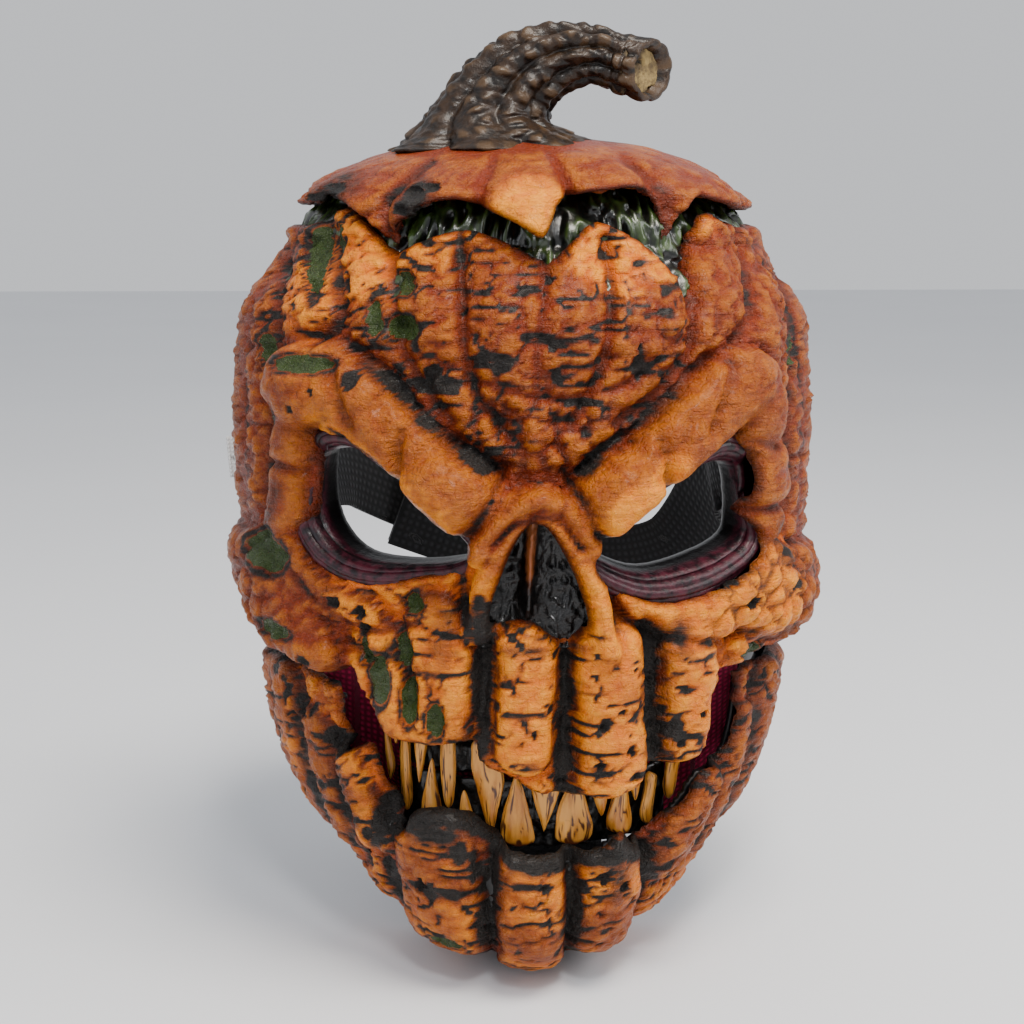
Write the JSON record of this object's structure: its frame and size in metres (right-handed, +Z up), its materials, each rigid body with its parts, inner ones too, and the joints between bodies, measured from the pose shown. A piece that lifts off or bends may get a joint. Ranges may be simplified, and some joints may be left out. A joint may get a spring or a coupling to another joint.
{
  "type": "latex halloween mask",
  "caption": "Full-face pumpkin monster mask with stalk, fanged hinged jaw that follows the wearer's mouth, plastic half shells, foam pads and elastic harness.",
  "frame": {"origin": "middle of the forehead pad's flat back face, where the wearer's brow rests", "axes": "+Z up, face looks towards -Y, +X towards the wearer's left"},
  "size_m": [0.2172, 0.2156, 0.3156],
  "materials": {
    "orange_skin": "foamed latex, brushed orange, rust and black paint, satin sealer",
    "stalk_skin": "foamed latex, dark brown wash, gloss sealer",
    "green_pulp": "latex, mossy green paint under wet gloss",
    "purple_rim": "latex, dark purple paint under wet gloss",
    "black_liner": "latex, black, wet gloss",
    "tooth_paint": "cast resin, ochre paint with brown in the grooves",
    "black_shell": "vacuum-formed styrene sheet, satin",
    "foam": "open-cell foam with brushed cloth face",
    "stalk_foam": "cut foam",
    "webbing": "woven elastic",
    "crimson_cloth": "knitted cloth",
    "rivet_steel": "nickel plated",
    "nylon": "moulded nylon",
    "tag_cloth": "printed satin ribbon, left blank"
  },
  "bodies": {
    "mask": {"face_skin": "orange_skin", "crown_lid": "orange_skin", "pulp_ring": "green_pulp", "stem_skin": "stalk_skin", "stem_core": "stalk_foam", "upper_shell": "black_shell", "nose_liner": "black_liner", "upper_gum": "black_liner", "forehead_pad": "foam", "top_strap": "webbing", "hook_patch": "webbing", "loop_patch": "webbing", "care_tag": "tag_cloth", "eye_rim_left": "purple_rim", "eye_rim_right": "purple_rim", "temple_pad_left": "foam", "temple_pad_right": "foam", "side_strap_left": "webbing", "side_strap_right": "webbing", "hinge_rivet_left": "rivet_steel", "hinge_rivet_right": "rivet_steel", "hinge_washer_left": "nylon", "hinge_washer_right": "nylon", "jaw_elastic_left": "webbing", "jaw_elastic_right": "webbing", "strap_rivet_left": "rivet_steel", "strap_rivet_right": "rivet_steel", "strap_rivet_top": "rivet_steel", "upper_tooth_1": "tooth_paint", "upper_tooth_2": "tooth_paint", "upper_tooth_3": "tooth_paint", "upper_tooth_4": "tooth_paint", "upper_tooth_5": "tooth_paint", "upper_tooth_6": "tooth_paint", "upper_tooth_7": "tooth_paint", "upper_tooth_8": "tooth_paint", "upper_tooth_9": "tooth_paint", "upper_tooth_10": "tooth_paint"},
    "jaw": {"jaw_skin": "orange_skin", "jaw_shell": "black_shell", "lower_gum": "black_liner", "mouth_lining": "crimson_cloth", "chin_pad": "foam", "lower_tooth_1": "tooth_paint", "lower_tooth_2": "tooth_paint", "lower_tooth_3": "tooth_paint", "lower_tooth_4": "tooth_paint", "lower_tooth_5": "tooth_paint", "lower_tooth_6": "tooth_paint"}
  },
  "joints": [
    {"name": "jaw_hinge", "type": "hinge", "parent": "mask", "child": "jaw", "pos_m": [0, 0.072, -0.085], "axis": [1, 0, 0], "range_deg": [0, 20], "stiffness_Nm_per_rad": 0.4, "springref_deg": -34.38, "deforming": ["jaw_elastic_left", "jaw_elastic_right"]}
  ]
}
